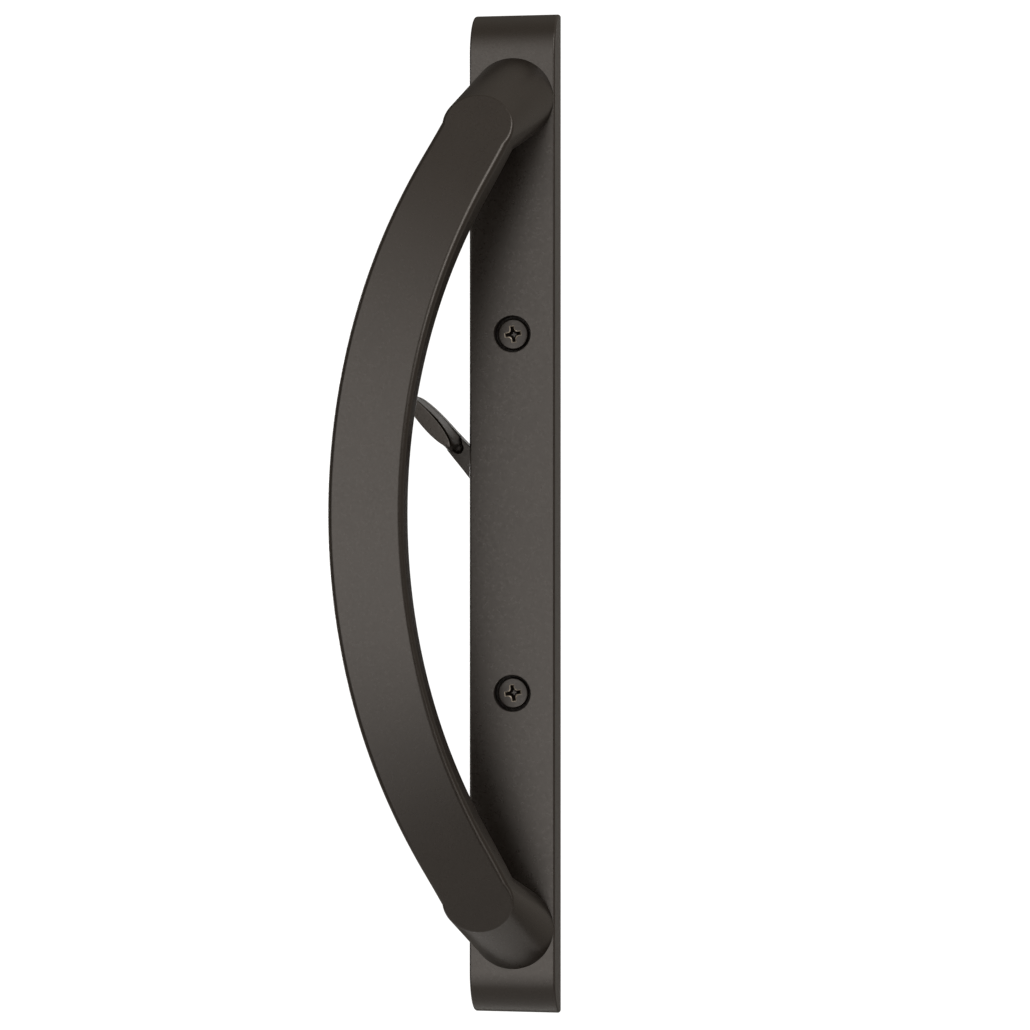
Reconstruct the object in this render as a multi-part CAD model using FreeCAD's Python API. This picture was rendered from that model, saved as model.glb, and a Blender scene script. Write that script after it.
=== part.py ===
import FreeCAD, Part
import math
import os

# Interior pull handle of a sliding patio door with its thumb lever, in millimetres.
# X runs to the right and Z up along the plate. The door face is the plane y = 0, and the
# handle stands out of it towards -Y. The origin is on the door face, on the lever's axis.
# A height is a distance out from the door face.

# Escutcheon plate: a die-cast shell with quarter-round ends, open at the back
plate_length = 281.0
plate_width = 24.0
plate_depth = 13.0
plate_edge_bevel = 0.5
side_wall = 2.2
front_wall = 2.5
rib_thickness = 1.6
rib_height = 7.5
rib_places = (33.0, 82.0)

# Bow of the pull handle, bent along one arc whose plane leans away from the door's normal
bow_offset = 31.0  # from the plate's centre line to the bow's centre line at mid-length
bow_rise = 54.0  # front of the plate to the front of the bow at mid-length
bow_width = 20.3
bow_thickness = 11.0
bow_front_bevel = 0.9
bow_back_round = 4.5
bow_bend_radius = 161.0
bow_bend_lean = 45.0  # degrees
bow_bend_half_span = 93.0
bow_end_straight = 12.9  # from the end of the bend to the centre of the round end

# Posts of the pull handle, cones from the plate to the ends of the bow
post_half_span = 113.8
post_foot_radius = 10.8
post_tip_radius = 8.4
post_tip_setback = 6.7  # from the centre of the bow's round end to the cone's axis
spigot_radius = 5.0
spigot_length = 2.0
spigot_clearance = 0.1
tapped_depth = 14.0

# Handle screws: M5 pan head with split lock washers, from behind
handle_screw_radius = 2.5
handle_screw_length = 20.0
handle_screw_head_radius = 4.6
handle_screw_head_height = 2.9
lock_washer_radius = 4.6
lock_washer_thickness = 1.2
lock_washer_gap = 0.8
post_seat_height = 5.6
post_boss_radius = 7.6

# Mounting screws: 8-32 binding head, through the door
screw_spacing = 100.0
screw_radius = 2.08
screw_neck_radius = 1.83  # plain shank inside the plate, at the thread's pitch radius
screw_length = 50.0
screw_head_radius = 4.3
screw_head_height = 2.4
screw_head_sink = 1.7  # front of the plate to the top of the head
counterbore_radius = 5.0
counterbore_wall = 2.0
recess_turn = 8.5  # degrees, counter-clockwise seen from the front

# Cross recesses of the mounting and handle screws
recess_span = 4.4
recess_blade = 0.9
recess_depth = 1.6

# Thumb lever
lever_angle = 49.0  # degrees above the horizontal, pointing left
lever_throw = 98.0  # degrees
hub_radius = 7.8
hub_front = 7.95
hub_back = 2.9
journal_radius = 5.0
journal_top = 11.4
rear_boss_radius = 4.6
rear_boss_end = 0.5
arm_root_half_width = 4.0
arm_waist_place = 29.0
arm_waist_half_width = 2.5
lever_reach = 43.6
scoop_place = 22.5
scoop_radius = 1.9
scoop_flare = 3.6
scoop_flare_place = 27.5
web_height = 5.0
leaf_start = 24.5
leaf_end = 43.3
leaf_half_width = 1.95
leaf_waist_half_width = 1.45
leaf_foot_half_width = 2.45
leaf_waist_height = 17.5
leaf_front = 22.0

# Lever bearing and retainer inside the plate
bushing_wall = 1.2
bushing_flange_radius = 7.6
bushing_flange = 0.6
bearing_wall = 1.8
bearing_skin = 1.4  # metal left in front of the bearing
retainer_thickness = 1.6
retainer_front = 2.0
retainer_width = 13.0
retainer_screw_place = 16.0
retainer_screw_radius = 1.5
retainer_screw_length = 8.0
retainer_head_radius = 2.8
retainer_head_height = 0.9
retainer_slot_width = 0.8
retainer_slot_depth = 0.5
retainer_boss_radius = 3.3
retainer_end_margin = 5.0
thrust_washer_outer_radius = 7.6
thrust_washer_inner_radius = 5.2

# Tailpiece and its spring pin
tailpiece_width = 6.0
tailpiece_thickness = 2.0
tailpiece_reach = 30.0  # behind the door face
tailpiece_top = 7.6
tailpiece_point = 1.5
pin_radius = 1.0
pin_wall = 0.35
pin_length = 14.0
pin_height = 5.4
pin_slot = 0.5

# Clearances
running_clearance = 0.05
press_clearance = 0.03
thread_clearance = 0.05
screw_hole_clearance = 0.3
slot_clearance = 0.06
lever_clearance = 0.8
washer_clearance = 0.03
overlap = 1.0  # how far cutters run past the faces they cut

OUT = FreeCAD.Vector(0, -1, 0)
BACK = FreeCAD.Vector(0, 1, 0)
ACROSS = FreeCAD.Vector(1, 0, 0)
UP = FreeCAD.Vector(0, 0, 1)
ORIGIN = FreeCAD.Vector(0, 0, 0)


def at(x, height, z):
    """Point at x across, at a height out from the door face, and z up."""
    return FreeCAD.Vector(x, -height, z)


def line(start, end):
    return Part.LineSegment(start, end).toShape()


def arc(start, middle, end):
    return Part.Arc(start, middle, end).toShape()


def face_of(edges):
    return Part.Face(Part.Wire(edges))


def polygon(corners):
    return Part.Face(Part.makePolygon(corners + corners[:1]))


def rod(radius, low, high, x=0.0, z=0.0):
    """Cylinder along the door's normal between two heights."""
    return Part.makeCylinder(radius, high - low, at(x, low, z), OUT)


def block(x_low, x_high, low, high, z_low, z_high):
    return Part.makeBox(x_high - x_low, high - low, z_high - z_low, at(x_low, high, z_low))


def prism(face, low, high):
    """A face drawn at height 0, carried out between two heights."""
    solid = face.extrude(OUT * (high - low))
    solid.translate(OUT * low)
    return solid


def save(name, *solids):
    shape = solids[0] if len(solids) == 1 else Part.makeCompound(list(solids))
    shape.exportStep(f"parts/{name}.step")


# Places that several pieces share
front_inside = plate_depth - front_wall
post_places = (post_half_span, -post_half_span)
screw_places = (screw_spacing / 2, -screw_spacing / 2)
retainer_places = (retainer_screw_place, -retainer_screw_place)
counterbore_floor = plate_depth - screw_head_sink - screw_head_height
bore_radius = journal_radius + running_clearance + bushing_wall + press_clearance
bearing_top = plate_depth - bearing_skin
bearing_end = hub_front + running_clearance + bushing_flange


def bullnose_bar(length, depth, width):
    """Bar along Z whose front runs into quarter-round ends."""
    flat = length / 2 - depth
    bend = depth * math.sqrt(0.5)
    x = -width / 2
    edges = [
        arc(at(x, 0, -flat - depth), at(x, bend, -flat - bend), at(x, depth, -flat)),
        line(at(x, depth, -flat), at(x, depth, flat)),
        arc(at(x, depth, flat), at(x, bend, flat + bend), at(x, 0, flat + depth)),
        line(at(x, 0, flat + depth), at(x, 0, -flat - depth)),
    ]
    return face_of(edges).extrude(ACROSS * width)


def lever_notch():
    """Opening in the left wall for the lever's arm, open towards the door."""
    half_turn = math.radians(lever_throw / 2)
    wall_x = plate_width / 2
    half_length = wall_x * math.tan(half_turn) + arm_root_half_width / math.cos(half_turn)
    half_length = half_length + lever_clearance
    inner_x = plate_width / 2 - side_wall - overlap
    notch = block(-wall_x - overlap, -inner_x, -overlap, hub_front + lever_clearance, -half_length, half_length)
    top_corners = [e for e in notch.Edges if e.BoundBox.XLength > overlap and e.BoundBox.YMax < -overlap]
    return notch.makeFillet(lever_clearance, top_corners)


def escutcheon_plate():
    outside = bullnose_bar(plate_length, plate_depth, plate_width)
    long_edges = [e for e in outside.Edges if e.BoundBox.YMin < -overlap and e.BoundBox.XLength < overlap]
    shell = outside.makeChamfer(plate_edge_bevel, long_edges)
    shell = shell.cut(bullnose_bar(plate_length - 2 * front_wall, front_inside, plate_width - 2 * side_wall))

    bosses = [rod(bore_radius + bearing_wall, bearing_end, front_inside)]
    holes = [rod(bore_radius, bearing_end - overlap, bearing_top), lever_notch()]
    for z in screw_places:
        bosses.append(rod(counterbore_radius + counterbore_wall, 0, front_inside, z=z))
        holes.append(rod(counterbore_radius, counterbore_floor, plate_depth + overlap, z=z))
        holes.append(rod(screw_radius + screw_hole_clearance, -overlap, plate_depth, z=z))
    for z in post_places:
        bosses.append(rod(post_boss_radius, post_seat_height, front_inside, z=z))
        holes.append(rod(spigot_radius + running_clearance, plate_depth - spigot_length - spigot_clearance,
                         plate_depth + overlap, z=z))
        holes.append(rod(handle_screw_radius + screw_hole_clearance, 0, plate_depth, z=z))
    for z in retainer_places:
        bosses.append(rod(retainer_boss_radius, retainer_front, front_inside, z=z))
        holes.append(rod(retainer_screw_radius + thread_clearance, 0, front_inside, z=z))
    for place in rib_places:
        for z in (place, -place):
            rib = block(-plate_width / 2, plate_width / 2, front_inside - rib_height, front_inside,
                        z - rib_thickness / 2, z + rib_thickness / 2)
            bosses.append(rib.common(outside))
    return shell.fuse(bosses).cut(holes).removeSplitter()


def mirrored(solid):
    """The same form at the lower end of the handle."""
    return solid.mirror(ORIGIN, UP)


# The bend of the bow: its centre, its axis, and the turn from the middle to either end
bow_front = at(-bow_offset, plate_depth + bow_rise, 0)
bend_lean = math.radians(bow_bend_lean)
bend_outward = at(-math.sin(bend_lean), math.cos(bend_lean), 0)
bend_centre = bow_front - bend_outward * bow_bend_radius
bend_axis = bend_outward.cross(UP)
bend_turn = math.degrees(math.asin(bow_bend_half_span / bow_bend_radius))


def to_end(solid):
    """A form drawn at the middle of the bow, carried to the upper end of the bend."""
    solid.rotate(bend_centre, bend_axis, bend_turn)
    return solid


def bow_point(across, depth):
    """Point of the section at mid-length, across the bow and behind its front."""
    return bow_front + ACROSS * across + BACK * depth


def bow_side(side):
    """One side of the section, from the middle of its front to the middle of its back."""
    half = bow_width / 2
    break_point = bow_back_round * (1 - math.sqrt(0.5))
    return [
        bow_point(0, 0),
        bow_point(side * (half - bow_front_bevel), 0),
        bow_point(side * half, bow_front_bevel),
        bow_point(side * half, bow_thickness - bow_back_round),
        bow_point(side * (half - break_point), bow_thickness - break_point),
        bow_point(side * (half - bow_back_round), bow_thickness),
        bow_point(0, bow_thickness),
    ]


def bow_section():
    """Flat front, bevelled front edges, straight sides and back edges rounded in two bevels."""
    return polygon(bow_side(1)[1:-1] + bow_side(-1)[-2:0:-1])


def bow_half_section():
    return polygon(bow_side(1))


def bow_bend():
    """The curved length of the bow."""
    section = bow_section()
    section.rotate(bend_centre, bend_axis, -bend_turn)
    return section.revolve(bend_centre, bend_axis, 2 * bend_turn)


def bow_end():
    """Straight upper end of the bow that finishes in a half circle."""
    straight = bow_section().extrude(UP * bow_end_straight)
    cap = bow_half_section().revolve(bow_front, OUT, 180)
    cap.translate(UP * bow_end_straight)
    return to_end(straight.fuse(cap))


def post():
    """Leaning cone from the plate to the upper end of the bow, with its locating spigot."""
    foot = at(0, plate_depth, post_half_span)
    turn = FreeCAD.Rotation(bend_axis, bend_turn)
    top = bow_front + UP * (bow_end_straight - post_tip_setback)
    top = turn.multVec(top - bend_centre) + bend_centre
    lean = top - foot
    taper = (post_tip_radius - post_foot_radius) / lean.Length
    axis = FreeCAD.Vector(lean).normalize()
    run_out = post_foot_radius
    cone = Part.makeCone(post_foot_radius - taper * run_out, post_tip_radius + taper * run_out,
                         lean.Length + 2 * run_out, foot - axis * run_out, axis)
    reach = bow_bend_half_span
    front = plate_depth + bow_rise
    behind_front = to_end(block(-reach, reach, 0, front, -reach, reach))
    above_plate = block(-reach, reach, plate_depth, front, 0, 2 * reach)
    # The bend curves away behind the end's flat front, so there the cone stops inside the bow
    past_bend = to_end(block(-reach, reach, front - bow_thickness / 2, front + overlap, -reach, overlap))
    spigot = rod(spigot_radius, plate_depth - spigot_length, plate_depth + overlap, z=post_half_span)
    return cone.common(behind_front).common(above_plate).cut(past_bend).fuse(spigot)


def pull_handle():
    ends = [bow_end(), post()]
    body = bow_bend().fuse(ends + [mirrored(end) for end in ends])
    holes = [
        rod(handle_screw_radius + thread_clearance, 0, plate_depth + tapped_depth, z=z) for z in post_places
    ]
    return body.cut(holes).removeSplitter()


def recessed_screw(head_radius, head_height, shank):
    """Screw with its head's seat at height 0, the head with its cross recess above and the shank below."""
    head = rod(head_radius, 0, head_height)
    floor = head_height - recess_depth
    half_span = recess_span / 2
    half_blade = recess_blade / 2
    recess = [
        block(-half_span, half_span, floor, head_height + overlap, -half_blade, half_blade),
        block(-half_blade, half_blade, floor, head_height + overlap, -half_span, half_span),
    ]
    return head.fuse(shank).cut(recess).removeSplitter()


def mounting_screws():
    """Screws whose thread begins at the door face."""
    screws = []
    for z in screw_places:
        neck = rod(screw_neck_radius, -counterbore_floor, overlap)
        shank = rod(screw_radius, -screw_length, -counterbore_floor).fuse(neck)
        screw = recessed_screw(screw_head_radius, screw_head_height, shank)
        screw.rotate(ORIGIN, OUT, recess_turn)
        screw.translate(at(0, counterbore_floor, z))
        screws.append(screw)
    return screws


def handle_screws():
    screws = []
    for z in post_places:
        shank = rod(handle_screw_radius, -handle_screw_length, overlap)
        screw = recessed_screw(handle_screw_head_radius, handle_screw_head_height, shank)
        screw.rotate(ORIGIN, UP, 180)
        screw.translate(at(0, post_seat_height - lock_washer_thickness, z))
        screws.append(screw)
    return screws


def handle_lock_washers():
    washers = []
    for z in post_places:
        low = post_seat_height - lock_washer_thickness
        ring = rod(lock_washer_radius, low, post_seat_height, z=z)
        ring = ring.cut(rod(handle_screw_radius + screw_hole_clearance, low - overlap,
                            post_seat_height + overlap, z=z))
        gap = block(0, 2 * lock_washer_radius, low - overlap, post_seat_height + overlap,
                    z - lock_washer_gap / 2, z + lock_washer_gap / 2)
        washers.append(ring.cut(gap))
    return washers


def lever_point(along, across, height):
    """Point in the lever's own directions while its arm points left."""
    return at(-along, height, across)


def arm_side(part, side):
    """Point on one side of the arm's outer end, a half ellipse, part of the way to its tip."""
    along = arm_waist_place + (lever_reach - arm_waist_place) * part
    return lever_point(along, side * arm_waist_half_width * math.sqrt(1 - part * part), 0)


def arm_plan():
    """Outline of the arm: straight tapers from the hub, then arcs through the points of a half ellipse."""
    upper_root = lever_point(0, arm_root_half_width, 0)
    lower_root = lever_point(0, -arm_root_half_width, 0)
    tip_part = 0.9
    edges = [
        line(upper_root, arm_side(0, 1)),
        arc(arm_side(0, 1), arm_side(tip_part / 2, 1), arm_side(tip_part, 1)),
        arc(arm_side(tip_part, 1), arm_side(1, 1), arm_side(tip_part, -1)),
        arc(arm_side(tip_part, -1), arm_side(tip_part / 2, -1), arm_side(0, -1)),
        line(arm_side(0, -1), lower_root),
        line(lower_root, upper_root),
    ]
    return face_of(edges)


def scoop_plan():
    """U-shaped outline that lowers the outer part of the arm to its web."""
    centre = scoop_place + scoop_radius
    far = lever_reach + overlap
    corners = [
        lever_point(centre, scoop_radius, 0),
        lever_point(scoop_flare_place, scoop_flare, 0),
        lever_point(far, scoop_flare, 0),
        lever_point(far, -scoop_flare, 0),
        lever_point(scoop_flare_place, -scoop_flare, 0),
        lever_point(centre, -scoop_radius, 0),
    ]
    edges = [line(corners[k], corners[k + 1]) for k in range(5)]
    edges.append(arc(corners[5], lever_point(scoop_place, 0, 0), corners[0]))
    return face_of(edges)


def leaf_plan():
    """Lens of two arcs, the outline of the leaf's foot."""
    start = lever_point(leaf_start, 0, 0)
    end = lever_point(leaf_end, 0, 0)
    middle = (leaf_start + leaf_end) / 2
    edges = [
        arc(start, lever_point(middle, leaf_foot_half_width, 0), end),
        arc(end, lever_point(middle, -leaf_foot_half_width, 0), start),
    ]
    return face_of(edges)


def leaf_pinch(side):
    """One hollow side of the leaf's section across the arm."""
    foot = lever_point(leaf_start, side * leaf_foot_half_width, web_height - overlap)
    waist = lever_point(leaf_start, side * leaf_waist_half_width, leaf_waist_height)
    front = lever_point(leaf_start, side * leaf_half_width, leaf_front)
    return foot, waist, front


def thumb_leaf():
    """Leaf that the thumb pushes, pinched between its foot and its front."""
    upper = leaf_pinch(1)
    lower = leaf_pinch(-1)
    edges = [
        arc(*upper),
        line(upper[2], lower[2]),
        arc(*reversed(lower)),
        line(lower[0], upper[0]),
    ]
    pinched = face_of(edges).extrude(lever_point(leaf_end - leaf_start, 0, 0))
    return prism(leaf_plan(), web_height - overlap, leaf_front).common(pinched)


def turned(solid):
    """The lever's pieces turned from pointing left to where the lever rests."""
    solid.rotate(ORIGIN, BACK, lever_angle)
    return solid


def thumb_lever():
    arm = prism(arm_plan(), hub_back, hub_front)
    arm = arm.cut(prism(scoop_plan(), web_height, hub_front + overlap))
    body = arm.fuse([
        rod(hub_radius, hub_back, hub_front),
        rod(journal_radius, hub_front - overlap, journal_top),
        rod(rear_boss_radius, rear_boss_end, hub_back + overlap),
        thumb_leaf(),
    ])
    half_slot = tailpiece_thickness / 2 + slot_clearance
    slot = block(-tailpiece_width / 2 - slot_clearance, tailpiece_width / 2 + slot_clearance,
                 rear_boss_end - overlap, tailpiece_top + slot_clearance, -half_slot, half_slot)
    pin_hole = Part.makeCylinder(pin_radius + press_clearance, 2 * hub_radius + overlap,
                                 at(0, pin_height, -hub_radius - overlap / 2), UP)
    return turned(body.cut([slot, pin_hole]).removeSplitter())


def tailpiece():
    half = tailpiece_width / 2
    corners = [
        at(-half, tailpiece_top, 0),
        at(half, tailpiece_top, 0),
        at(half, tailpiece_point - tailpiece_reach, 0),
        at(half - tailpiece_point, -tailpiece_reach, 0),
        at(tailpiece_point - half, -tailpiece_reach, 0),
        at(-half, tailpiece_point - tailpiece_reach, 0),
    ]
    bar = polygon(corners).extrude(UP * tailpiece_thickness)
    bar.translate(UP * (-tailpiece_thickness / 2))
    hole = Part.makeCylinder(pin_radius + press_clearance, 2 * tailpiece_thickness,
                             at(0, pin_height, -tailpiece_thickness), UP)
    return turned(bar.cut(hole))


def tailpiece_pin():
    base = at(0, pin_height, -pin_length / 2)
    tube = Part.makeCylinder(pin_radius, pin_length, base, UP)
    tube = tube.cut(Part.makeCylinder(pin_radius - pin_wall, pin_length, base, UP))
    slot = block(-pin_slot / 2, pin_slot / 2, pin_height, pin_height + 2 * pin_radius, -pin_length, pin_length)
    return turned(tube.cut(slot))


def hub_bushing():
    outer = bore_radius - press_clearance
    body = rod(outer, bearing_end, journal_top)
    body = body.fuse(rod(bushing_flange_radius, bearing_end - bushing_flange, bearing_end))
    return body.cut(rod(journal_radius + running_clearance, 0, plate_depth)).removeSplitter()


def thrust_washer():
    """Flat ring that fills the space between the hub and the retainer."""
    low = retainer_front + washer_clearance
    high = hub_back - washer_clearance
    ring = rod(thrust_washer_outer_radius, low, high)
    return ring.cut(rod(thrust_washer_inner_radius, low - overlap, high + overlap))


def retainer_plate():
    """Stamped strip with a hole for the hub and two counterbored screw holes."""
    low = retainer_front - retainer_thickness
    half = retainer_width / 2
    end = retainer_screw_place + retainer_end_margin
    strip = block(-half, half, low, retainer_front, -end, end)
    holes = [rod(rear_boss_radius + screw_hole_clearance, low - overlap, retainer_front + overlap)]
    for z in retainer_places:
        holes.append(rod(retainer_head_radius + running_clearance, low - overlap, low + retainer_head_height, z=z))
        holes.append(rod(retainer_screw_radius + running_clearance, low, retainer_front + overlap, z=z))
    return strip.cut(holes)


def retainer_screws():
    low = retainer_front - retainer_thickness
    screws = []
    for z in retainer_places:
        head = rod(retainer_head_radius, low, low + retainer_head_height, z=z)
        shank = rod(retainer_screw_radius, low, low + retainer_screw_length, z=z)
        slot = block(-retainer_head_radius - overlap, retainer_head_radius + overlap, low - overlap,
                     low + retainer_slot_depth, z - retainer_slot_width / 2, z + retainer_slot_width / 2)
        screws.append(head.fuse(shank).cut(slot).removeSplitter())
    return screws


os.makedirs("parts", exist_ok=True)
save("escutcheon_plate", escutcheon_plate())
save("pull_handle", pull_handle())
save("handle_screws", *handle_screws())
save("handle_lock_washers", *handle_lock_washers())
save("mounting_screws", *mounting_screws())
save("thumb_lever", thumb_lever())
save("tailpiece", tailpiece())
save("tailpiece_pin", tailpiece_pin())
save("hub_bushing", hub_bushing())
save("thrust_washer", thrust_washer())
save("retainer_plate", retainer_plate())
save("retainer_screws", *retainer_screws())
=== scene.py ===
import math

import bmesh
import bpy
from mathutils import Matrix, Vector


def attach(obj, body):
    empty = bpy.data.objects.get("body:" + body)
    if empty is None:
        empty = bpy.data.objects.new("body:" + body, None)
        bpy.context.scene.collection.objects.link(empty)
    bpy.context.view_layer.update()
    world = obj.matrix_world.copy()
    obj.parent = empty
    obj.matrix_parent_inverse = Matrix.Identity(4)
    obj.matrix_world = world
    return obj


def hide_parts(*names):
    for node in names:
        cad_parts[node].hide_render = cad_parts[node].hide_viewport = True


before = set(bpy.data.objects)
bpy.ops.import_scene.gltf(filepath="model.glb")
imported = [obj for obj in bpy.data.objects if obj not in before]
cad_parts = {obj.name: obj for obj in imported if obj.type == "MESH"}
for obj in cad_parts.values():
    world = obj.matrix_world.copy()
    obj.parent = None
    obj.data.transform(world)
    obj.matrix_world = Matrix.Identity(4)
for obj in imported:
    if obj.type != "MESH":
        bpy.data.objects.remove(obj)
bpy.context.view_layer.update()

# Sizes are in millimetres, in the part's own frame: X right, Z up along the plate,
# and heights measured out from the door face towards -Y.
MM = 0.001
OUT = Vector((0, -1, 0))
ACROSS = Vector((1, 0, 0))
UP = Vector((0, 0, 1))

# Escutcheon plate
plate_length = 281.0
plate_width = 24.0
plate_depth = 13.0
plate_edge_round = 0.6
cavity_edge_round = 0.5
cavity_opening = (-5.0, 0.01)
side_wall = 2.2
front_wall = 2.5
rib_thickness = 1.6
rib_height = 7.5
rib_places = (33.0, 82.0)
boss_sink = 1.0
boss_wall = 2.0
boss_foot = 0.01
bearing_radius = 8.08
bearing_foot = 8.6
bearing_bore_radius = 6.28
bearing_bore = (7.6, 11.6)
seat_radius = 7.6
retainer_place = 16.0
retainer_boss_radius = 3.3
retainer_boss_foot = 2.0
retainer_hole_radius = 1.55
hole_start = 0.5
hole_clearance = 0.3
spigot_clearance = 0.05
spigot_floor_gap = 0.1
notch_clearance = 0.8
notch_round = 0.8
overcut = 1.0
# Reach and margin of the painted shade on the counterbore walls: a rougher finish with a darker gloss tint
bore_shade_reach = 0.12
bore_shade_edge = 0.1

# Pull handle
bow_offset = 31.0
bow_rise = 54.0
bow_half_width = 10.12
bow_end_half_width = 9.6
bow_end_shift = -0.8
bow_end_shift_power = 8
bow_thickness = 11.0
bow_front_round = 1.6
bow_back_round = 4.5
bend_radius = 161.0
bend_lean = math.radians(45)
bend_half_span = 93.0
bow_end_straight = 14.0
bow_overrun = 0.5
bow_skin = 0.05
bow_front_skin = 0.02
bow_back_skin = 0.03
round_end_front = ((0.4, 0.7), (0.0, 1.1))
post_place = 113.8
post_waist_depth = 5.0
foot_place = 115.0
foot_radius = 11.6
foot_seam = 0.12
foot_core = ((11.4, 0.0), (11.4, 0.3), (9.0, 2.0))
tip_radius = 9.8
tip_round = 1.1
tip_shift = -0.15
spigot_radius = 5.0
spigot_length = 2.0
spigot_sink = 2.0
tapped_radius = 2.55
tapped_depth = 14.0
tapped_overcut = 4.0
end_steps = 120

# Screws
screw_place = 50.0
screw_seat = 8.9
screw_radius = 2.08
screw_neck_radius = 1.83
screw_length = 50.0
screw_head_radius = 4.3
screw_head_height = 2.4
screw_pitch = 0.79
counterbore_radius = 5.0
counterbore_edge = ((0.0, 0.35), (0.1, 0.12), (0.35, 0.0))
recess_turn = 8.5
recess_reach = 2.2
recess_rings = (
    (-0.5, 1.12, 0.34, 0.38), (0.0, 1.12, 0.34, 0.38), (0.2, 1.0, 0.23, 0.38),
    (0.5, 0.96, 0.22, 0.36), (2.3, 0.3, 0.08, 0.12),
)
worn_depths = (0.02, 0.21)
worn_reach = 2.6
worn_slopes = (0.3, 0.95)
head_rim_drop = 0.6
head_round = 0.45
head_seat_edge = 0.15
head_crown = 0.15
head_crown_steps = 8
head_point = 0.02
handle_seat = 5.6
handle_washer = 1.2
handle_screw_radius = 2.5
handle_neck_radius = 2.2
handle_neck_length = 1.5
handle_head_radius = 4.6
handle_head_height = 2.9
handle_screw_length = 20.0
handle_pitch = 0.8
thread_depth_share = 0.55
thread_rings_per_turn = 8
thread_slope = 2.6
thread_root = 0.15
neck_sink = 0.2
shank_sink = 0.1
shank_steps = 28

# Thumb lever
lever_angle = math.radians(49)
lever_throw = math.radians(98)
hub_radius = 7.8
hub_front = 7.95
hub_back = 2.9
rear_boss_radius = 4.6
rear_boss_back = 0.5
journal_radius = 5.0
journal_front = 11.4
pin_hole_radius = 1.03
pin_hole_height = 5.4
pin_hole_shift = 0.011
pin_hole_half_length = 12.0
tail_slot_half_width = 3.06
tail_slot_half_thickness = 1.06
tail_slot_heights = (-0.5, 7.66)
lever_reach = 43.6
arm_root_half_width = 4.0
arm_end_half_width = 2.5
arm_waist = 29.0
arm_edge_round = 0.25
arm_back = 2.93
arm_front = 7.92
arm_root = 2.3
arm_rise_start = 18.5
arm_rise = 0.17
arm_steps = 24
scoop_centre = 24.4
scoop_radius = 1.55
scoop_open = 27.5
scoop_floor = 7.5
scoop_bowl = 1.0
web_height = 5.0
leaf_start = 24.5
leaf_end = 43.3
leaf_shift = -0.2
leaf_front = 22.0
leaf_foot = 3.2
leaf_skin = 0.03
leaf_stations = 44
leaf_nose = 0.72
leaf_nose_growth = 0.14
flank_drop = 0.9
flank_steps = 14
flank_power = 0.5
flank_power_growth = 0.75
flank_power_run = 4.0
pad_half_width = 1.93
pad_powers = (2.2, 0.6)
pad_least_half_width = 0.02
pad_tilt = 0.4
pad_edge_round = 0.2
groove_width = 0.45
groove_depth = 1.7
groove_bed = 0.3
groove_full_width = 0.8
groove_rise = 0.1
far_edge_depth = 0.6
shoulder_least = 0.01

# Edges of the CAD nodes that stay, the weld in metres
soft_edge_weld = 1e-6
soft_edge_width = 0.12
soft_edge_segments = 2
soft_edge_angle = math.radians(50)


# Shapes, with reaches in metres and the turn in radians
merge_reach = 1e-7
sliver_reach = 1.5e-6
flat_turn = 0.001
even_weight = 100


def at(x, height, z):
    """Point at a height out from the door face."""
    return Vector((x, -height, z))


def linked(name, data):
    piece = bpy.data.objects.new(name, data)
    bpy.context.scene.collection.objects.link(piece)
    return piece


def solid(name, points, faces):
    """Closed mesh object from points in millimetres."""
    mesh = bpy.data.meshes.new(name)
    mesh.from_pydata([p * MM for p in points], [], faces)
    work = bmesh.new()
    work.from_mesh(mesh)
    bmesh.ops.remove_doubles(work, verts=work.verts, dist=merge_reach)
    bmesh.ops.recalc_face_normals(work, faces=work.faces)
    work.to_mesh(mesh)
    work.free()
    return linked(name, mesh)


def lofted(name, rings):
    """Solid through rings of points that all have the same count, closed at both ends."""
    count = len(rings[0])
    points = [p for ring in rings for p in ring]
    faces = []
    for k in range(len(rings) - 1):
        low = k * count
        for j in range(count):
            n = (j + 1) % count
            faces.append((low + j, low + n, low + count + n, low + count + j))
    last = (len(rings) - 1) * count
    faces.append(tuple(range(count)))
    faces.append(tuple(last + j for j in range(count)))
    return solid(name, points, faces)


def circle(radius, height, z, steps):
    """Ring of points about the door's normal at z."""
    turns = [2 * math.pi * k / steps for k in range(steps)]
    return [at(radius * math.cos(turn), height, z + radius * math.sin(turn)) for turn in turns]


def revolved(name, profile, z=0.0, steps=96):
    """Solid of a profile of (radius, height) turned about the door's normal at z."""
    return lofted(name, [circle(radius, height, z, steps) for radius, height in profile])


def rod(name, radius, low, high, z=0.0, steps=96):
    return revolved(name, [(radius, low), (radius, high)], z, steps)


def block(name, x_low, x_high, low, high, z_low, z_high):
    corners = [(x_low, z_low), (x_high, z_low), (x_high, z_high), (x_low, z_high)]
    return lofted(name, [[at(x, h, z) for x, z in corners] for h in (low, high)])


def hull(name, points):
    """Solid that wraps points, with each flat side as one face."""
    mesh = bpy.data.meshes.new(name)
    mesh.from_pydata([p * MM for p in points], [], [])
    work = bmesh.new()
    work.from_mesh(mesh)
    made = bmesh.ops.convex_hull(work, input=work.verts)
    spare = [v for v in made["geom_interior"] if isinstance(v, bmesh.types.BMVert)]
    spare += [v for v in made["geom_unused"] if isinstance(v, bmesh.types.BMVert)]
    bmesh.ops.delete(work, geom=list(set(spare)), context="VERTS")
    bmesh.ops.dissolve_limit(work, angle_limit=flat_turn, verts=work.verts, edges=work.edges)
    bmesh.ops.recalc_face_normals(work, faces=work.faces)
    work.to_mesh(mesh)
    work.free()
    return linked(name, mesh)


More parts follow.
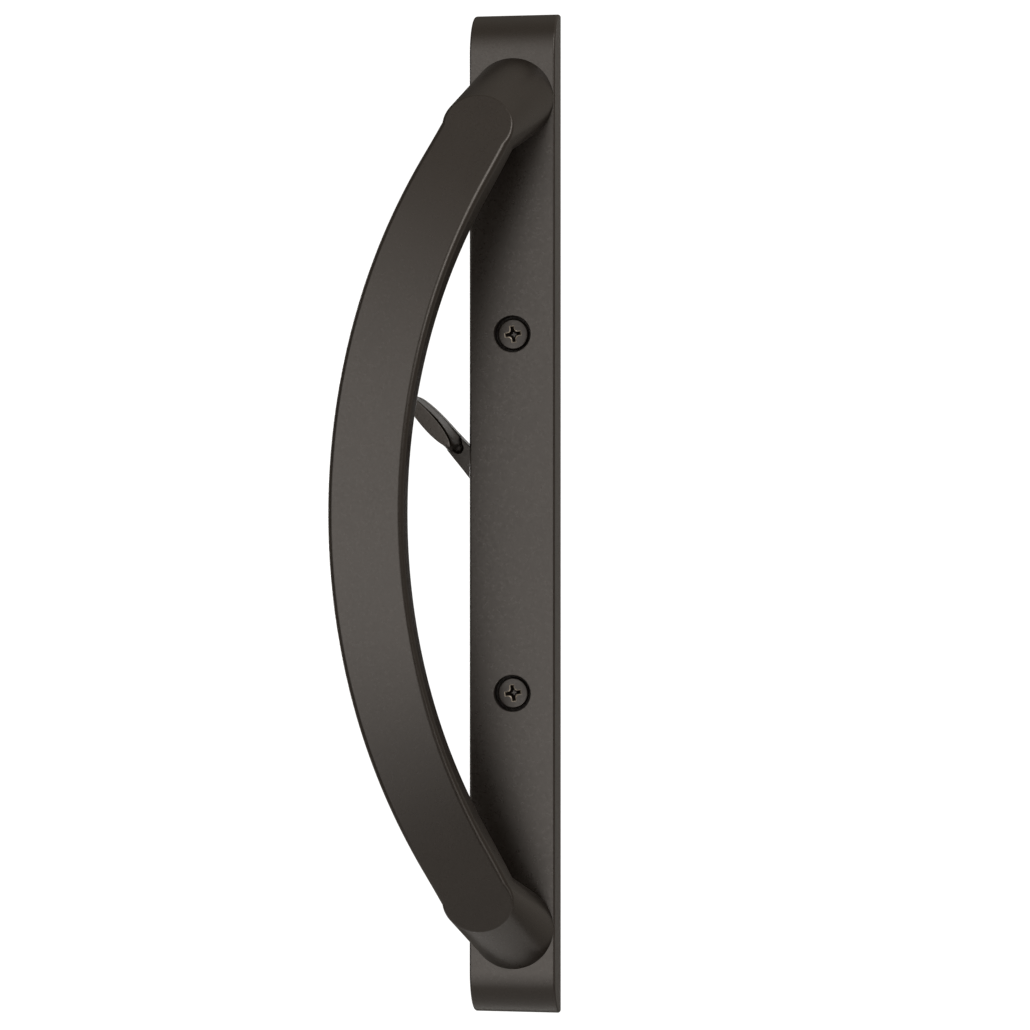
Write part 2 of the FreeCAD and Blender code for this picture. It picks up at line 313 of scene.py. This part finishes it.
def combine(piece, tools, operation):
    """Joins solids to a piece or cuts them from it."""
    for tool in tools:
        step = piece.modifiers.new("combine", "BOOLEAN")
        step.operation = operation
        step.solver = "EXACT"
        step.object = tool
    graph = bpy.context.evaluated_depsgraph_get()
    mesh = bpy.data.meshes.new_from_object(piece.evaluated_get(graph))
    piece.modifiers.clear()
    piece.data = mesh
    for tool in tools:
        bpy.data.objects.remove(tool)
    return piece


def clean(piece):
    """Draws together the sliver faces that joining and cutting leave."""
    work = bmesh.new()
    work.from_mesh(piece.data)
    bmesh.ops.remove_doubles(work, verts=work.verts, dist=sliver_reach)
    bmesh.ops.dissolve_degenerate(work, edges=work.edges, dist=sliver_reach)
    work.to_mesh(piece.data)
    work.free()


def finish_piece(piece, body, finishes, nodes, smooth_angle=32):
    """Shading, materials and place in the frame for a piece that stands for CAD nodes."""
    clean(piece)
    for finish in finishes:
        piece.data.materials.append(finish)
    piece.data.shade_smooth()
    piece.data.set_sharp_from_angle(angle=math.radians(smooth_angle))
    even = piece.modifiers.new("even_normals", "WEIGHTED_NORMAL")
    even.keep_sharp = True
    even.weight = even_weight
    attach(piece, body)
    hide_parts(*nodes)


def corner(radius, steps, centre=(0, 0), start=0):
    """Points of a quarter circle, the start in degrees."""
    points = []
    for k in range(steps + 1):
        turn = math.radians(start + 90 * k / steps)
        points.append((centre[0] + radius * math.cos(turn), centre[1] + radius * math.sin(turn)))
    return points


# Materials
noise_span = (0.3, 0.7)
patch_detail = 3.0
grain_detail = 2.0
grain_strength = 0.5


def noise(tree, coords, scale, detail):
    texture = tree.nodes.new("ShaderNodeTexNoise")
    texture.inputs["Scale"].default_value = scale
    texture.inputs["Detail"].default_value = detail
    tree.links.new(coords, texture.inputs["Vector"])
    return texture.outputs["Fac"]


def spread(tree, value, low, high):
    """A noise value spread between two numbers."""
    node = tree.nodes.new("ShaderNodeMapRange")
    node.inputs["From Min"].default_value = noise_span[0]
    node.inputs["From Max"].default_value = noise_span[1]
    node.inputs["To Min"].default_value = low
    node.inputs["To Max"].default_value = high
    tree.links.new(value, node.inputs["Value"])
    return node.outputs["Result"]


def mixed(tree, factor, low, high):
    node = tree.nodes.new("ShaderNodeMix")
    node.data_type = "RGBA"
    node.inputs[6].default_value = (*low, 1)
    node.inputs[7].default_value = (*high, 1)
    tree.links.new(factor, node.inputs[0])
    return node.outputs[2]


def material(name, tones, roughness, metallic, patch, grain, grain_height, tint=(1, 1, 1)):
    """Surface with patches between two tones, uneven gloss and a fine grain in relief."""
    made = bpy.data.materials.new(name)
    made.use_nodes = True
    tree = made.node_tree
    shader = tree.nodes["Principled BSDF"]
    shader.inputs["Metallic"].default_value = metallic
    shader.inputs["Specular Tint"].default_value = (*tint, 1)
    coords = tree.nodes.new("ShaderNodeTexCoord").outputs["Object"]
    broad = spread(tree, noise(tree, coords, patch, patch_detail), 0.0, 1.0)
    tree.links.new(mixed(tree, broad, *tones), shader.inputs["Base Color"])
    fine = noise(tree, coords, grain, grain_detail)
    tree.links.new(spread(tree, fine, *roughness), shader.inputs["Roughness"])
    bump = tree.nodes.new("ShaderNodeBump")
    bump.inputs["Strength"].default_value = grain_strength
    bump.inputs["Distance"].default_value = grain_height
    tree.links.new(fine, bump.inputs["Height"])
    tree.links.new(bump.outputs["Normal"], shader.inputs["Normal"])
    return made


bronze = material(
    "bronze_paint", ((0.0068, 0.0050, 0.0037), (0.0092, 0.0069, 0.0053)), roughness=(0.27, 0.35),
    metallic=0.0, patch=70, grain=1500, grain_height=2.2e-5, tint=(1.0, 0.92, 0.85))
# Counterbore walls: painted shade, a rougher finish with a darker gloss tint that stands in for the shade
# inside the recess
bore = material(
    "bore_painted_shade", ((0.0070, 0.0056, 0.0044), (0.0100, 0.0080, 0.0064)), roughness=(0.45, 0.6),
    metallic=0.0, patch=300, grain=1500, grain_height=2.0e-5, tint=(0.7, 0.64, 0.6))
worn = material(
    "worn_edge", ((0.26, 0.22, 0.17), (0.36, 0.31, 0.25)), roughness=(0.36, 0.48),
    metallic=0.3, patch=900, grain=2600, grain_height=1.0e-5)
steel = material(
    "zinc_steel", ((0.52, 0.52, 0.5), (0.64, 0.64, 0.61)), roughness=(0.26, 0.42),
    metallic=1.0, patch=260, grain=2600, grain_height=1.0e-5)
acetal = material(
    "bearing_plastic", ((0.78, 0.77, 0.72), (0.84, 0.83, 0.79)), roughness=(0.42, 0.56),
    metallic=0.0, patch=180, grain=1800, grain_height=1.0e-5)


# Escutcheon plate
def bullnose_outline(length, depth, inset, steps):
    """Outline (height, z) of a bar with quarter-round ends, drawn in by an inset."""
    flat = length / 2 - depth
    radius = depth - inset
    turns = [math.pi / 2 * k / steps for k in range(steps + 1)]
    lower = [(radius * math.sin(a), -flat - radius * math.cos(a)) for a in turns]
    upper = [(h, -z) for h, z in reversed(lower)]
    return lower + upper


def bullnose_bar(name, length, depth, width, edge_round, steps=40, round_steps=5):
    side = width / 2 - edge_round
    insets = []
    for k in range(round_steps + 1):
        turn = math.pi / 2 * k / round_steps
        insets.append((side + edge_round * math.sin(turn), edge_round - edge_round * math.cos(turn)))
    stations = [(-x, d) for x, d in reversed(insets)] + insets
    rings = []
    for x, inset in stations:
        rings.append([at(x, h, z) for h, z in bullnose_outline(length, depth, inset, steps)])
    return lofted(name, rings)


def counterbore(z):
    """Cutter for a mounting screw's hole, its counterbore and the soft edge at the front."""
    hole = screw_radius + hole_clearance
    profile = [(hole, -overcut), (hole, screw_seat), (counterbore_radius, screw_seat)]
    profile += [(counterbore_radius + growth, plate_depth - depth) for growth, depth in counterbore_edge]
    profile.append((counterbore_radius + counterbore_edge[-1][0], plate_depth + overcut))
    return revolved("counterbore", profile, z=z)


def lever_notch():
    """Cutter for the gap in the left wall that the lever swings in."""
    half_throw = lever_throw / 2
    half = plate_width / 2 * math.tan(half_throw) + arm_root_half_width / math.cos(half_throw)
    half += notch_clearance
    top = hub_front + notch_clearance
    notch = [(-half, -overcut), (half, -overcut)]
    notch += corner(notch_round, steps=6, centre=(half - notch_round, top - notch_round))
    notch += corner(notch_round, steps=6, centre=(-half + notch_round, top - notch_round), start=90)
    sides = (-plate_width / 2 - overcut, -plate_width / 2 + side_wall + overcut)
    return lofted("notch", [[at(x, h, z) for z, h in notch] for x in sides])


def escutcheon_plate():
    plate = bullnose_bar("escutcheon_shell", plate_length, plate_depth, plate_width, plate_edge_round)
    inside = plate_depth - front_wall
    cavity = bullnose_bar("cavity", plate_length - 2 * front_wall, inside, plate_width - 2 * side_wall,
                          cavity_edge_round)
    below = block("below", -plate_width / 2 + side_wall, plate_width / 2 - side_wall, *cavity_opening,
                  -plate_length / 2 + front_wall, plate_length / 2 - front_wall)
    combine(plate, [cavity, below], "DIFFERENCE")
    root = inside + boss_sink
    bosses = [rod("bearing", bearing_radius, bearing_foot, root)]
    holes = [rod("bore", bearing_bore_radius, *bearing_bore)]
    for z in (screw_place, -screw_place):
        bosses.append(rod("boss", counterbore_radius + boss_wall, boss_foot, root, z=z))
        holes.append(counterbore(z))
    spigot_floor = plate_depth - spigot_length - spigot_floor_gap
    for z in (post_place, -post_place):
        bosses.append(rod("seat", seat_radius, handle_seat, root, z=z))
        holes.append(rod("spigot_hole", spigot_radius + spigot_clearance, spigot_floor,
                         plate_depth + overcut, z=z))
        holes.append(rod("screw_hole", handle_screw_radius + hole_clearance, hole_start, plate_depth, z=z))
    for z in (retainer_place, -retainer_place):
        bosses.append(rod("retainer_boss", retainer_boss_radius, retainer_boss_foot, root, z=z))
        holes.append(rod("retainer_hole", retainer_hole_radius, hole_start, inside, z=z))
    reach = plate_width / 2 - side_wall / 2
    half_rib = rib_thickness / 2
    for place in rib_places:
        for z in (place, -place):
            bosses.append(block("rib", -reach, reach, inside - rib_height, root, z - half_rib, z + half_rib))
    holes.append(lever_notch())
    combine(plate, bosses, "UNION")
    combine(plate, holes, "DIFFERENCE")
    # The counterbore walls take the painted shade finish, which darkens the recess
    bore_reach = counterbore_radius + bore_shade_reach
    bore_low = screw_seat - bore_shade_edge
    bore_high = plate_depth - bore_shade_edge
    for face in plate.data.polygons:
        centre = face.center / MM
        away = math.hypot(centre.x, abs(centre.z) - screw_place)
        if away < bore_reach and bore_low < -centre.y < bore_high:
            face.material_index = 1
    finish_piece(plate, "escutcheon", [bronze, bore], ["escutcheon_plate"])


# Pull handle
bow_front = at(-bow_offset, plate_depth + bow_rise, 0)
bend_outward = at(-math.sin(bend_lean), math.cos(bend_lean), 0)
bend_centre = bow_front - bend_outward * bend_radius
bend_axis = bend_outward.cross(UP)
bend_turn = math.asin(bend_half_span / bend_radius)


def bent(point, turn):
    """A point drawn at the middle of the bow, carried round the bend."""
    return Matrix.Rotation(turn, 3, bend_axis) @ (point - bend_centre) + bend_centre


def bow_section(half_width):
    """Points (across, depth) round the bow's section."""
    front = bow_front_round
    back = bow_back_round
    right = [(half_width - front + a, front - b) for b, a in corner(front, steps=6)]
    right += [(half_width - back + a, bow_thickness - back + b) for a, b in corner(back, steps=10)]
    return right + [(-a, d) for a, d in reversed(right)]


def bow_stations(steps=112, straight_steps=4):
    """Turn round the bend and straight run beyond it, from the lower end to the upper one."""
    end = bow_end_straight + bow_overrun
    stations = [(-bend_turn, -end * (straight_steps - k) / straight_steps) for k in range(straight_steps)]
    stations += [(-bend_turn + 2 * bend_turn * k / steps, 0.0) for k in range(steps + 1)]
    stations += [(bend_turn, end * (k + 1) / straight_steps) for k in range(straight_steps)]
    return stations


def bow():
    whole = bend_radius * bend_turn + bow_end_straight
    rings = []
    for turn, run in bow_stations():
        part = (bend_radius * turn + run) / whole
        half = bow_end_half_width + (bow_half_width - bow_end_half_width) * max(0.0, 1 - part * part)
        shift = bow_end_shift * part ** bow_end_shift_power
        ring = []
        for across, depth in bow_section(half):
            ring.append(bent(bow_front + ACROSS * (across + shift) - OUT * depth + UP * run, turn))
        rings.append(ring)
    return lofted("pull_bow", rings)


def end_ring(radius, depth, side, shift=0.0):
    """Ring about the centre of the bow's round end, behind its front."""
    ring = []
    for k in range(end_steps):
        turn = 2 * math.pi * k / end_steps
        point = bow_front + ACROSS * (bow_end_shift + shift + radius * math.cos(turn)) - OUT * depth
        point = bent(point + UP * (bow_end_straight + radius * math.sin(turn)), bend_turn)
        ring.append(Vector((point.x, point.y, side * point.z)))
    return ring


def post(side):
    """Leaning post from the bow's round tip to its foot on the plate."""
    points = []
    for a, b in corner(tip_round, steps=6):
        points += end_ring(tip_radius - tip_round + a, tip_round - b + bow_front_skin, side, tip_shift)
    points += end_ring(bow_end_half_width - bow_skin, post_waist_depth, side)
    points += circle(foot_radius, plate_depth + foot_seam, side * foot_place, end_steps)
    return hull("post", points)


def round_end(side):
    """Body of the bow's round end, just below its front."""
    radius = bow_end_half_width - bow_skin
    back = bow_back_round
    rings = [end_ring(radius - inset, depth, side) for inset, depth in round_end_front]
    for a, b in corner(back, steps=8):
        rings.append(end_ring(radius - back + a, bow_thickness - bow_back_skin - back + b, side))
    return lofted("round_end", rings)


def pull_handle():
    handle = bow()
    tools = []
    for side in (1, -1):
        tools.append(round_end(side))
        tools.append(post(side))
        core = [(radius, plate_depth + height) for radius, height in foot_core]
        tools.append(revolved("foot", core, z=side * foot_place))
        tools.append(rod("spigot", spigot_radius, plate_depth - spigot_length, plate_depth + spigot_sink,
                         z=side * post_place))
    combine(handle, tools, "UNION")
    holes = []
    for z in (post_place, -post_place):
        holes.append(rod("tapped", tapped_radius, plate_depth - tapped_overcut,
                         plate_depth + tapped_depth, z=z))
    combine(handle, holes, "DIFFERENCE")
    finish_piece(handle, "escutcheon", [bronze], ["pull_handle"])


# Screws
def thread(radius, pitch, low, high):
    """Rings of a threaded shank along the door's normal."""
    depth = thread_depth_share * pitch
    count = int((high - low) / pitch * thread_rings_per_turn)
    rings = []
    for k in range(count + 1):
        height = low + (high - low) * k / count
        ring = []
        for j in range(shank_steps):
            turn = 2 * math.pi * j / shank_steps
            phase = (height / pitch + j / shank_steps) % 1.0
            crest = max(0.0, min(1.0, abs(phase - 0.5) * thread_slope - thread_root))
            edge = min(1.0, (height - low) / pitch, (high - height) / pitch)
            r = radius - depth + depth * crest * edge
            ring.append(at(r * math.cos(turn), height, r * math.sin(turn)))
        rings.append(ring)
    return rings


def cross_outline(reach, blade, fillet, steps=6):
    """Outline (x, z) of a cross with rounded inner corners."""
    outline = []
    for quarter in range(4):
        turn = math.pi / 2 * quarter
        points = [(reach, -blade), (reach, blade)]
        for k in range(steps + 1):
            a = math.pi / 2 * k / steps
            points.append((blade + fillet - fillet * math.sin(a), blade + fillet - fillet * math.cos(a)))
        for x, z in points:
            outline.append((x * math.cos(turn) - z * math.sin(turn), x * math.sin(turn) + z * math.cos(turn)))
    return outline


def cross_recess(top, reach):
    """Cutter for a cross recess with bevelled edges, whose wings narrow towards the bottom."""
    rings = []
    for depth, arm, blade, fillet in recess_rings:
        outline = cross_outline(reach * arm, reach * blade, reach * fillet)
        rings.append([at(x, top - depth, z) for x, z in outline])
    return lofted("recess", rings)


def screw(name, head_radius, head_height, radius, length, pitch, neck, neck_length):
    """Screw with its head's seat at height 0 and its shank below."""
    rim = head_height - head_rim_drop
    crown_radius = head_radius - head_round
    profile = [(neck, -neck_sink), (neck, 0.0), (head_radius - head_seat_edge, 0.0),
               (head_radius, head_seat_edge), (head_radius, rim)]
    profile += [(crown_radius + a, rim + b) for a, b in corner(head_round, steps=6)[1:]]
    for k in range(1, head_crown_steps + 1):
        part = 1 - k / head_crown_steps
        profile.append((max(head_point, crown_radius * part), head_height - head_crown * part * part))
    head = revolved(name, profile)
    combine(head, [cross_recess(head_height, recess_reach)], "DIFFERENCE")
    rings = thread(radius, pitch, -length, -neck_length)
    rings += [circle(neck, height, 0.0, shank_steps) for height in (-neck_length, -shank_sink)]
    combine(head, [lofted("shank", rings)], "UNION")
    for face in head.data.polygons:
        depth = head_height + face.center.y / MM
        reach = math.hypot(face.center.x, face.center.z) / MM
        sloped = worn_slopes[0] < abs(face.normal.y) < worn_slopes[1]
        if worn_depths[0] < depth < worn_depths[1] and reach < worn_reach and sloped:
            face.material_index = 1
    return head


def joined(pieces, name):
    """One object of several pieces' meshes."""
    whole = bmesh.new()
    for piece in pieces:
        piece.data.transform(piece.matrix_basis)
        whole.from_mesh(piece.data)
        bpy.data.objects.remove(piece)
    mesh = bpy.data.meshes.new(name)
    whole.to_mesh(mesh)
    whole.free()
    return linked(name, mesh)


def mounting_screws():
    pair = []
    for z in (screw_place, -screw_place):
        one = screw("mounting", screw_head_radius, screw_head_height, screw_radius, screw_length, screw_pitch,
                    screw_neck_radius, screw_seat)
        turn = Matrix.Rotation(math.radians(recess_turn), 4, OUT)
        one.matrix_basis = Matrix.Translation(at(0, screw_seat, z) * MM) @ turn
        pair.append(one)
    made = joined(pair, "mounting_screw_pair")
    finish_piece(made, "escutcheon", [bronze, worn], ["mounting_screws"])


def handle_screws():
    pair = []
    for z in (post_place, -post_place):
        one = screw("handle", handle_head_radius, handle_head_height, handle_screw_radius,
                    handle_screw_length, handle_pitch, handle_neck_radius, handle_neck_length)
        turn = Matrix.Rotation(math.pi, 4, UP)
        one.matrix_basis = Matrix.Translation(at(0, handle_seat - handle_washer, z) * MM) @ turn
        pair.append(one)
    made = joined(pair, "handle_screw_pair")
    finish_piece(made, "escutcheon", [steel, steel], ["handle_screws"])


# Thumb lever, drawn pointing left along -X and then turned up to where it rests
def lever_outline(points):
    """Outline (x, z) from points (along, across)."""
    return [(-along, across) for along, across in points]


def arm_half_width(along):
    """Half of the arm's width: a straight taper from the hub, then a half ellipse."""
    if along < arm_waist:
        return arm_root_half_width + (arm_end_half_width - arm_root_half_width) * along / arm_waist
    part = min(1.0, (along - arm_waist) / (lever_reach - arm_waist))
    return arm_end_half_width * math.sqrt(1 - part * part)


def arm_outline(inset):
    """Outline of the arm, drawn in by an inset."""
    tip = lever_reach - inset
    half = arm_end_half_width - inset
    upper = [(along, arm_half_width(along) - inset) for along in (arm_root, arm_rise_start)]
    for k in range(arm_steps):
        turn = math.pi / 2 * k / arm_steps
        upper.append((arm_waist + (tip - arm_waist) * math.sin(turn), half * math.cos(turn)))
    return lever_outline(upper + [(tip, 0.0)] + [(a, -c) for a, c in reversed(upper)])


def scoop_outline(growth):
    """Outline of the hollow in front of the leaf: a round bottom that opens to the arm's sides."""
    radius = scoop_radius + growth
    upper = [(scoop_open - growth, arm_root_half_width), (lever_reach + overcut, arm_root_half_width)]
    turns = [math.pi * k / arm_steps for k in range(arm_steps + 1)]
    bottom = [(scoop_centre - radius * math.sin(a), -radius * math.cos(a)) for a in turns]
    return lever_outline(upper + [(a, -c) for a, c in reversed(upper)] + bottom)


def level(outline, height, share):
    """Outline at a height, with a share of the rise along the outer arm's front."""
    return [at(x, height + share * arm_rise * max(0.0, -x - arm_rise_start), z) for x, z in outline]


def scooped_arm():
    edge = corner(arm_edge_round, steps=5)
    rim = arm_front - arm_edge_round
    heel = arm_back + arm_edge_round
    rings = [level(arm_outline(arm_edge_round - a), heel - b, 0.0) for a, b in reversed(edge)]
    rings += [level(arm_outline(arm_edge_round - a), rim + b, 1.0) for a, b in edge]
    arm = lofted("lever_arm", rings)
    rings = []
    for part, rest in reversed(corner(1.0, steps=8)[1:]):
        outline = scoop_outline((part - 1) * scoop_bowl)
        rings.append(level(outline, rim - (rim - scoop_floor) * rest, 1 - rest))
    rings += [level(scoop_outline(arm_edge_round - a), rim + b, 1.0) for a, b in edge]
    rings.append(level(scoop_outline(arm_edge_round), hub_front + overcut, 1.0))
    return combine(arm, [lofted("scoop", rings)], "DIFFERENCE")


def pad_half(along):
    """Half-width of the leaf's flat front, a pointed ellipse."""
    part = (2 * along - leaf_start - leaf_end) / (leaf_end - leaf_start)
    fullness, blunting = pad_powers
    return pad_half_width * max(0.0, 1 - abs(part) ** fullness) ** blunting + pad_least_half_width


def leaf_side(along, nose, groove):
    """One side (across, height) of the leaf: a flank, a groove and the edge of the flat front."""
    head = pad_half(along)
    foot = max(head, arm_half_width(along) - leaf_skin) * nose
    grown = min(1.0, head / groove_full_width)
    shoulder = min(head + groove * grown, max(foot, head + shoulder_least))
    top = leaf_front - flank_drop
    power = flank_power + flank_power_growth * min(1.0, (along - leaf_start) / flank_power_run)
    side = []
    for k in range(flank_steps + 1):
        part = k / flank_steps
        across = shoulder + (foot - shoulder) * (1 - part) ** power
        side.append((across, leaf_foot + (top - leaf_foot) * part))
    edge = min(pad_edge_round, head / 2)
    side.append((shoulder - groove_bed * groove * grown, top + groove_rise))
    side.append((head, leaf_front - (groove_depth if groove else far_edge_depth) * grown))
    side.append((head, leaf_front - edge))
    side += [(head - edge + a, leaf_front - edge + b) for a, b in corner(edge, steps=4)[1:]]
    return side


def leaf():
    rings = []
    for k in range(leaf_stations + 1):
        along = leaf_start + (leaf_end - leaf_start) * (0.5 - 0.5 * math.cos(math.pi * k / leaf_stations))
        nose = min(1.0, leaf_nose + leaf_nose_growth * (along - leaf_start))
        thumb_side = leaf_side(along, nose, groove_width)
        far_side = leaf_side(along, 1.0, 0.0)
        ring = []
        for across, height in thumb_side + [(-c, h) for c, h in reversed(far_side)]:
            raised = max(0.0, height - web_height) / (leaf_front - web_height)
            lowered = pad_tilt * (across + pad_half_width) * raised
            ring.append(at(-along, height - lowered, across + leaf_shift * raised))
        rings.append(ring)
    return lofted("leaf", rings)


def lever_hub():
    """Hub with its rear boss, its journal and the hole for the tailpiece's pin."""
    hub = revolved("hub", [
        (rear_boss_radius, rear_boss_back), (rear_boss_radius, hub_back), (hub_radius, hub_back),
        (hub_radius, hub_front), (journal_radius, hub_front), (journal_radius, journal_front)])
    pin_hole = rod("pin_hole", pin_hole_radius, -pin_hole_half_length, pin_hole_half_length, steps=40)
    pin_hole.data.transform(Matrix.Rotation(math.pi / 2, 4, "X"))
    pin_hole.data.transform(Matrix.Translation(at(pin_hole_shift, pin_hole_height, 0) * MM))
    return combine(hub, [pin_hole], "DIFFERENCE")


def thumb_lever():
    arm = scooped_arm()
    combine(arm, [lever_hub()], "UNION")
    slot = block("slot", -tail_slot_half_width, tail_slot_half_width, *tail_slot_heights,
                 -tail_slot_half_thickness, tail_slot_half_thickness)
    combine(arm, [slot], "DIFFERENCE")
    combine(arm, [leaf()], "UNION")
    arm.data.transform(Matrix.Rotation(lever_angle, 4, "Y"))
    finish_piece(arm, "lever", [bronze], ["thumb_lever"], smooth_angle=40)


def plain_nodes():
    """The CAD nodes that stay, with softened edges and better materials."""
    finishes = {
        "handle_lock_washers": steel, "retainer_plate": steel, "retainer_screws": steel, "tailpiece": steel,
        "tailpiece_pin": steel, "hub_bushing": acetal, "thrust_washer": acetal,
    }
    for node, finish in finishes.items():
        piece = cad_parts[node]
        for slot in piece.material_slots:
            slot.material = finish
        weld = piece.modifiers.new("weld", "WELD")
        weld.merge_threshold = soft_edge_weld
        soft = piece.modifiers.new("soft_edges", "BEVEL")
        soft.width = soft_edge_width * MM
        soft.segments = soft_edge_segments
        soft.limit_method = "ANGLE"
        soft.angle_limit = soft_edge_angle


escutcheon_plate()
pull_handle()
mounting_screws()
handle_screws()
thumb_lever()
plain_nodes()


# Stage, in metres: a pale floor below the part, soft light and the photograph's camera
floor_radius = 0.4
floor_level = -0.5
floor_steps = 96
surround = 0.1
wall_light = 1.0
wall_slopes = (0.200, 0.185)
front_light = 2.8
front_turn = -18.0
front_half_width = 0.45
front_half_height = 0.97
top_light = 0.2
top_from = (0.0, -0.2, 1.0)
top_fade = (0.4, 1.0)
right_light = 0.3
right_from = (0.8, -0.1, 0.35)
right_fade = (-0.2, 0.8)
left_light = 0.28
left_from = (-0.95, 0.3, -0.1)
left_fade = (0.55, 0.9)
warm_tone = (1.0, 0.91, 0.80)
camera_turn = 8.25
camera_distance = 0.8
camera_aim = Vector((0, -0.013, 0))
camera_sensor = 36
image_size = 1030
focal_pixels = 2878
shift_pixels = (3.0, -1.4)

# Lamps: name, place, target, size and power in watts
lamps = (
    ("upper_edge_light", (0.6, -0.65, 0.65), (0, -0.03, 0.03), (0.4, 0.8), 5.0),
    ("back_fill", (-0.8, 1.0, 0.05), (0, 0, 0), (0.6, 0.6), 6.0),
    ("lever_light", (0.104, -0.956, -0.284), (-0.0144, -0.0095, 0.0166), (0.25, 0.25), 0.6),
    ("lower_edge_light", (0.9, -0.55, -0.5), (0, -0.03, -0.03), (0.35, 0.5), 1.0),
)


def floor():
    mesh = bpy.data.meshes.new("floor")
    turns = [2 * math.pi * k / floor_steps for k in range(floor_steps)]
    ring = [(floor_radius * math.cos(turn), floor_radius * math.sin(turn), floor_level) for turn in turns]
    mesh.from_pydata(ring, [], [tuple(range(floor_steps))])
    piece = linked("floor", mesh)
    mesh.materials.append(material(
        "floor_card", ((0.82, 0.82, 0.82), (0.85, 0.85, 0.85)), roughness=(0.8, 0.9),
        metallic=0.0, patch=8, grain=400, grain_height=2.0e-5))


def facing(tree, coords, towards):
    """Share of a direction that points towards another."""
    dot = tree.nodes.new("ShaderNodeVectorMath")
    dot.operation = "DOT_PRODUCT"
    dot.inputs[1].default_value = Vector(towards).normalized()
    tree.links.new(coords, dot.inputs[0])
    return dot.outputs["Value"]


def faded(tree, value, start, full, strength):
    """Strength that grows softly from nothing at one value to all of it at another."""
    fade = tree.nodes.new("ShaderNodeMapRange")
    fade.interpolation_type = "SMOOTHSTEP"
    fade.inputs["From Min"].default_value = start
    fade.inputs["From Max"].default_value = full
    fade.inputs["To Max"].default_value = strength
    tree.links.new(value, fade.inputs["Value"])
    return fade.outputs["Result"]


def sums(tree, operation, first, second):
    """Result of a Math node on two values, each a socket or a number."""
    node = tree.nodes.new("ShaderNodeMath")
    node.operation = operation
    for socket, value in zip(node.inputs, (first, second)):
        if isinstance(value, float):
            socket.default_value = value
        else:
            tree.links.new(value, socket)
    return node.outputs["Value"]


def white_wall(tree, coords):
    """White square behind the part, just larger than the camera's view."""
    turn = math.radians(camera_turn)
    ahead = facing(tree, coords, (-math.sin(turn), math.cos(turn), 0))
    aside = sums(tree, "ABSOLUTE", facing(tree, coords, (math.cos(turn), math.sin(turn), 0)), 0.0)
    above = sums(tree, "ABSOLUTE", facing(tree, coords, (0, 0, 1)), 0.0)
    slope = sums(tree, "DIVIDE", sums(tree, "MAXIMUM", aside, above), ahead)
    inside = faded(tree, slope, *wall_slopes, wall_light)
    return sums(tree, "MULTIPLY", inside, sums(tree, "GREATER_THAN", ahead, 0.0))


def tall_light(tree, coords):
    """Soft light in front, taller than it is wide."""
    turn = math.radians(front_turn)
    ahead = facing(tree, coords, (math.sin(turn), -math.cos(turn), 0))
    aside = facing(tree, coords, (math.cos(turn), math.sin(turn), 0))
    aside = sums(tree, "DIVIDE", aside, front_half_width)
    above = sums(tree, "DIVIDE", facing(tree, coords, (0, 0, 1)), front_half_height)
    aside_squared = sums(tree, "MULTIPLY", aside, aside)
    above_squared = sums(tree, "MULTIPLY", above, above)
    inside = faded(tree, sums(tree, "ADD", aside_squared, above_squared), 1.0, 0.0, front_light)
    return sums(tree, "MULTIPLY", inside, sums(tree, "GREATER_THAN", ahead, 0.0))


def sky():
    """Dim surround with a tall soft light in front, some light from the sides and top, and a white wall."""
    world = bpy.context.scene.world or bpy.data.worlds.new("studio")
    bpy.context.scene.world = world
    world.use_nodes = True
    tree = world.node_tree
    background = tree.nodes["Background"]
    coords = tree.nodes.new("ShaderNodeTexCoord").outputs["Generated"]
    white = sums(tree, "ADD", white_wall(tree, coords), tall_light(tree, coords))
    right = faded(tree, facing(tree, coords, right_from), *right_fade, right_light)
    above = faded(tree, facing(tree, coords, top_from), *top_fade, top_light)
    left = faded(tree, facing(tree, coords, left_from), *left_fade, left_light)
    warm = sums(tree, "ADD", sums(tree, "ADD", right, above), sums(tree, "ADD", left, surround))
    total = sums(tree, "ADD", white, warm)
    share = sums(tree, "DIVIDE", warm, total)
    tree.links.new(mixed(tree, share, (1, 1, 1), warm_tone), background.inputs["Color"])
    tree.links.new(total, background.inputs["Strength"])


def aimed(piece, place, target):
    """Sets a lamp or camera at a place, pointing at a target."""
    piece.location = place
    piece.rotation_mode = "QUATERNION"
    piece.rotation_quaternion = (Vector(target) - Vector(place)).to_track_quat("-Z", "Y")


def lamp(name, place, target, size, power):
    data = bpy.data.lights.new(name, "AREA")
    data.shape = "RECTANGLE"
    data.size, data.size_y = size
    data.energy = power
    aimed(linked(name, data), place, target)


def camera():
    turn = math.radians(camera_turn)
    data = bpy.data.cameras.new("camera")
    data.sensor_width = camera_sensor
    data.lens = focal_pixels / image_size * camera_sensor
    data.shift_x = shift_pixels[0] / image_size
    data.shift_y = shift_pixels[1] / image_size
    view = linked("camera", data)
    aimed(view, camera_aim + Vector((math.sin(turn), -math.cos(turn), 0)) * camera_distance, camera_aim)
    bpy.context.scene.camera = view


floor()
sky()
for row in lamps:
    lamp(*row)
camera()
bpy.context.scene.view_settings.view_transform = "Standard"
